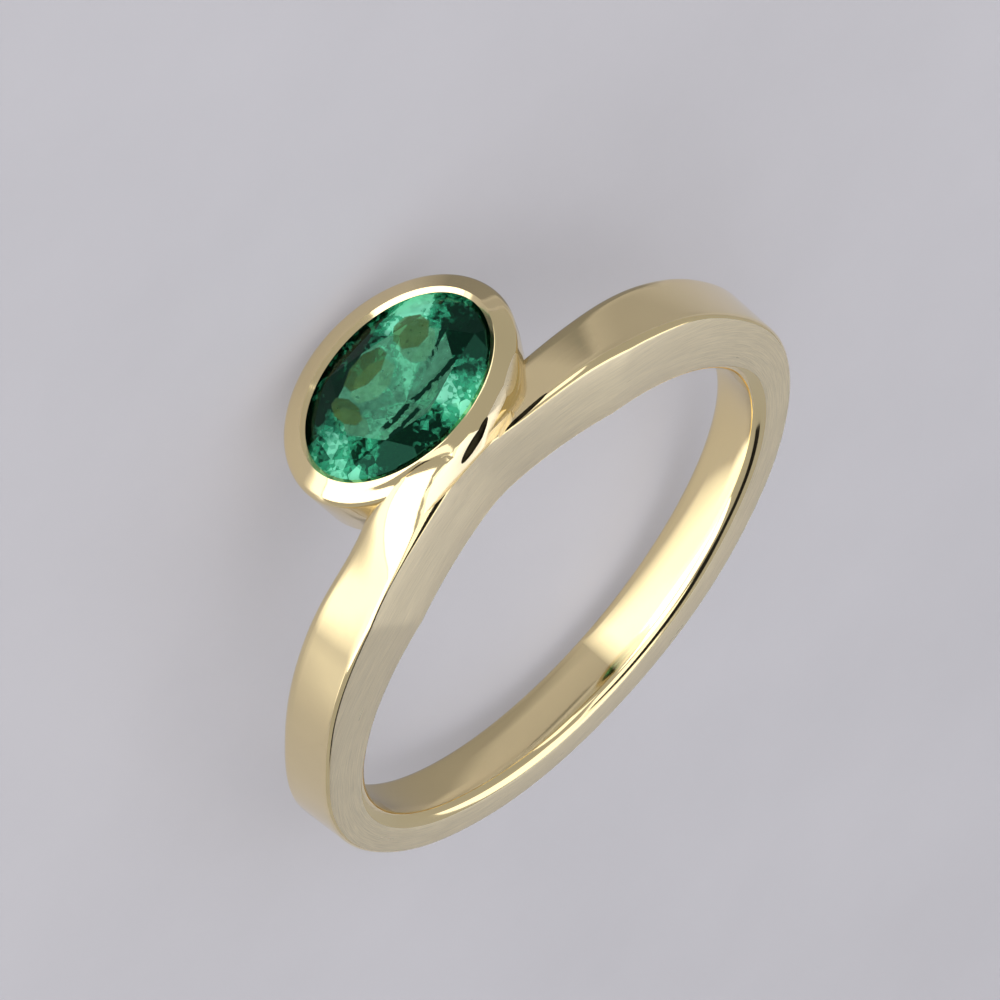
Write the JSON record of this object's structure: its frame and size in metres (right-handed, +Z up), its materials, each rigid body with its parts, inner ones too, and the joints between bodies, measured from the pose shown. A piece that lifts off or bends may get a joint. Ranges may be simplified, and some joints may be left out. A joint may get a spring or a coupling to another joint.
{
  "type": "emerald engagement ring",
  "caption": "Yellow gold finger ring with a flat-sided polished band and an oval faceted emerald in a rub-over setting that stands off to one side, open at the back.",
  "frame": {"origin": "centre of the bounding box's bottom, on the surface the ring lies on", "axes": "+Z up, +Y from the finger hole towards the setting, +X along the emerald's long axis; the ring lies on the back of its band and the far shoulder of its setting"},
  "size_m": [0.0204, 0.024, 0.0061],
  "materials": {
    "gold": "polished pale yellow gold, satin on the flat side face",
    "emerald": "faceted and polished, clear green with fine inclusions"
  },
  "bodies": {
    "root": {"mount": "gold", "emerald": "emerald"}
  },
  "joints": []
}
